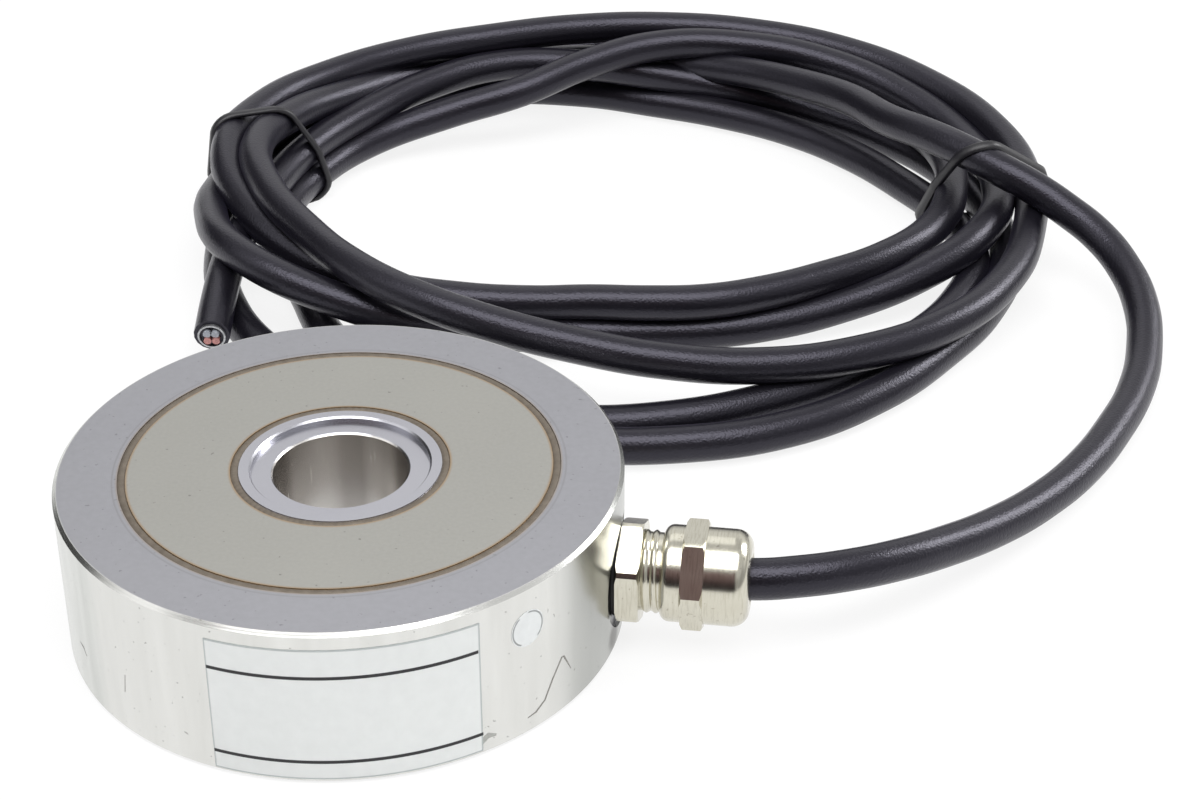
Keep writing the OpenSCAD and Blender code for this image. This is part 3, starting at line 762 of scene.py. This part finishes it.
# Polyimide film with etched foil: amber
foil = plain("polyimide_film_etched_foil", "#AF7F3A", "#C08E45", 0.67, Roughness=0.35)
# Circuit board laminate with solder mask: green, the weave just shows
board = plain("glass_epoxy_solder_mask", "#195534", "#20613E", 0.55, Roughness=0.4)
# Brass pin, turned and tinned: pale and slightly dull
tin = plain("brass_pin_tinned", "#BEBAAD", "#CFCBBF", 0.4, Metallic=1.0, Roughness=0.3)
# Chip resistor, fired and coated: black
chip = plain("alumina_chip_coated_black", "#19191C", "#222226", 0.33, Roughness=0.4)
# Chip resistor, fired and left bare: tan
chip_tan = plain("alumina_chip_tan", "#867A60", "#968970", 0.33, Roughness=0.5)
# Copper wire, drawn and enamelled: red-brown
copper = plain("copper_wire_enamelled", "#9B4F27", "#AE5D31", 0.4, Metallic=1.0, Roughness=0.3)
# Screen braid of tinned copper, cut: bright strands with dark gaps
braid = plain("copper_braid_tinned", "#4A4A4D", "#E2E3E6", 0.455, grain=0.6, Metallic=0.9, Roughness=0.35)
# Screen ink, printed: flat black
ink = plain("screen_ink_black", "#19191B", "#222225", 0.667, Roughness=0.5)
# Adhesive left on the steel by an older label: grey and rubbed
residue = plain("acrylic_adhesive_residue", "#8F908C", "#B5B6B1", 0.4, grain=0.4, Roughness=0.7)
# Stainless steel, scored by a point: grey line
scratch = plain("stainless_steel_scored", "#7E7C77", "#96948F", 0.4, grain=0.3, Metallic=0.6, Roughness=0.5)

dress(turned_stainless(), "sensor_body")
dress(rolled_stainless(), "top_cover", "bottom_cover")
dress(foil, "gauge_top_inner", "gauge_top_outer", "gauge_bottom_inner", "gauge_bottom_outer")
dress(board, "circuit_board")
dress(tin, "terminal_pins")
dress(chip, "trim_resistors")
dress(chip_tan, "span_resistors")
dress(copper, "top_gauge_leads", "bottom_gauge_leads")
dress(nickel, "gland_body", "dome_nut")
dress(rubber, "gland_gasket", "rubber_seal")
dress(nylon_white, "clamping_insert")
dress(braid, "cut_shield")
dress(cut_core_ends(), "cut_cores")
# Core insulation, extruded: smooth, one colour each
for core, low, high in (("red", "#A01D19", "#B02420"), ("black", "#141414", "#1C1C1C"),
                        ("green", "#1B6530", "#227139"), ("white", "#DEDDD8", "#E9E8E4")):
    dress(plain("polyethylene_core_" + core, low, high, 1.1, Roughness=0.4), "core_wire_" + core)

for edge, radius in WELDS.items():
    weld_bead("weld_top_" + edge, radius, RING_H - TOP_GROOVE, 1, weld)
    weld_bead("weld_bottom_" + edge, radius, BOTTOM_GROOVE, -1, weld)

# Label with its two printed rules, a round sticker, and what handling left on the wall
wall_film("label", -103.3, -50.6, 0.9, 25.2, 0.005, 0.09, label_film())
wall_film("label_rule_upper", -103.2, -51, 19.75, 20.35, 0.095, 0.01, ink)
wall_film("label_rule_lower", -103.2, -50.5, 3.9, 4.5, 0.095, 0.01, ink)
wall_disc("sticker", *STICKER_AT, STICKER_R, 0.06, sticker_film())
wall_mark("scratch_bent", [(-27.6, 7.15), (-29.8, 10.58), (-30.4, 10.69), (-33.1, 7.89), (-35.5, 4.65),
                           (-37.9, 3.4), (-40, 3.13)], 0.35, scratch)
wall_mark("scratch_left", [(-143, 9.17), (-141, 8.9), (-139.7, 7.9)], 0.3, scratch)
wall_mark("scratch_tick", [(-124.4, 11.46), (-125.1, 7.86)], 0.3, scratch)
wall_mark("residue_line", [(-52.5, 1.6), (-50.8, 2.6), (-49.3, 3.4), (-47.6, 2.9)], 1.1, residue)
wall_mark("residue_spot", [(-44.9, 25.3), (-44.5, 25.2)], 0.45, residue)

make_tie("cable_tie_right", (104, 158), 20, 30, nylon, "tie_right")
make_tie("cable_tie_left", (-48.5, 141), 30, -5, nylon, "tie_left")
make_thread(nickel)

make_floor()
make_sky()
make_lamps()
bpy.context.scene.view_settings.view_transform = "Standard"

bpy.context.view_layer.update()
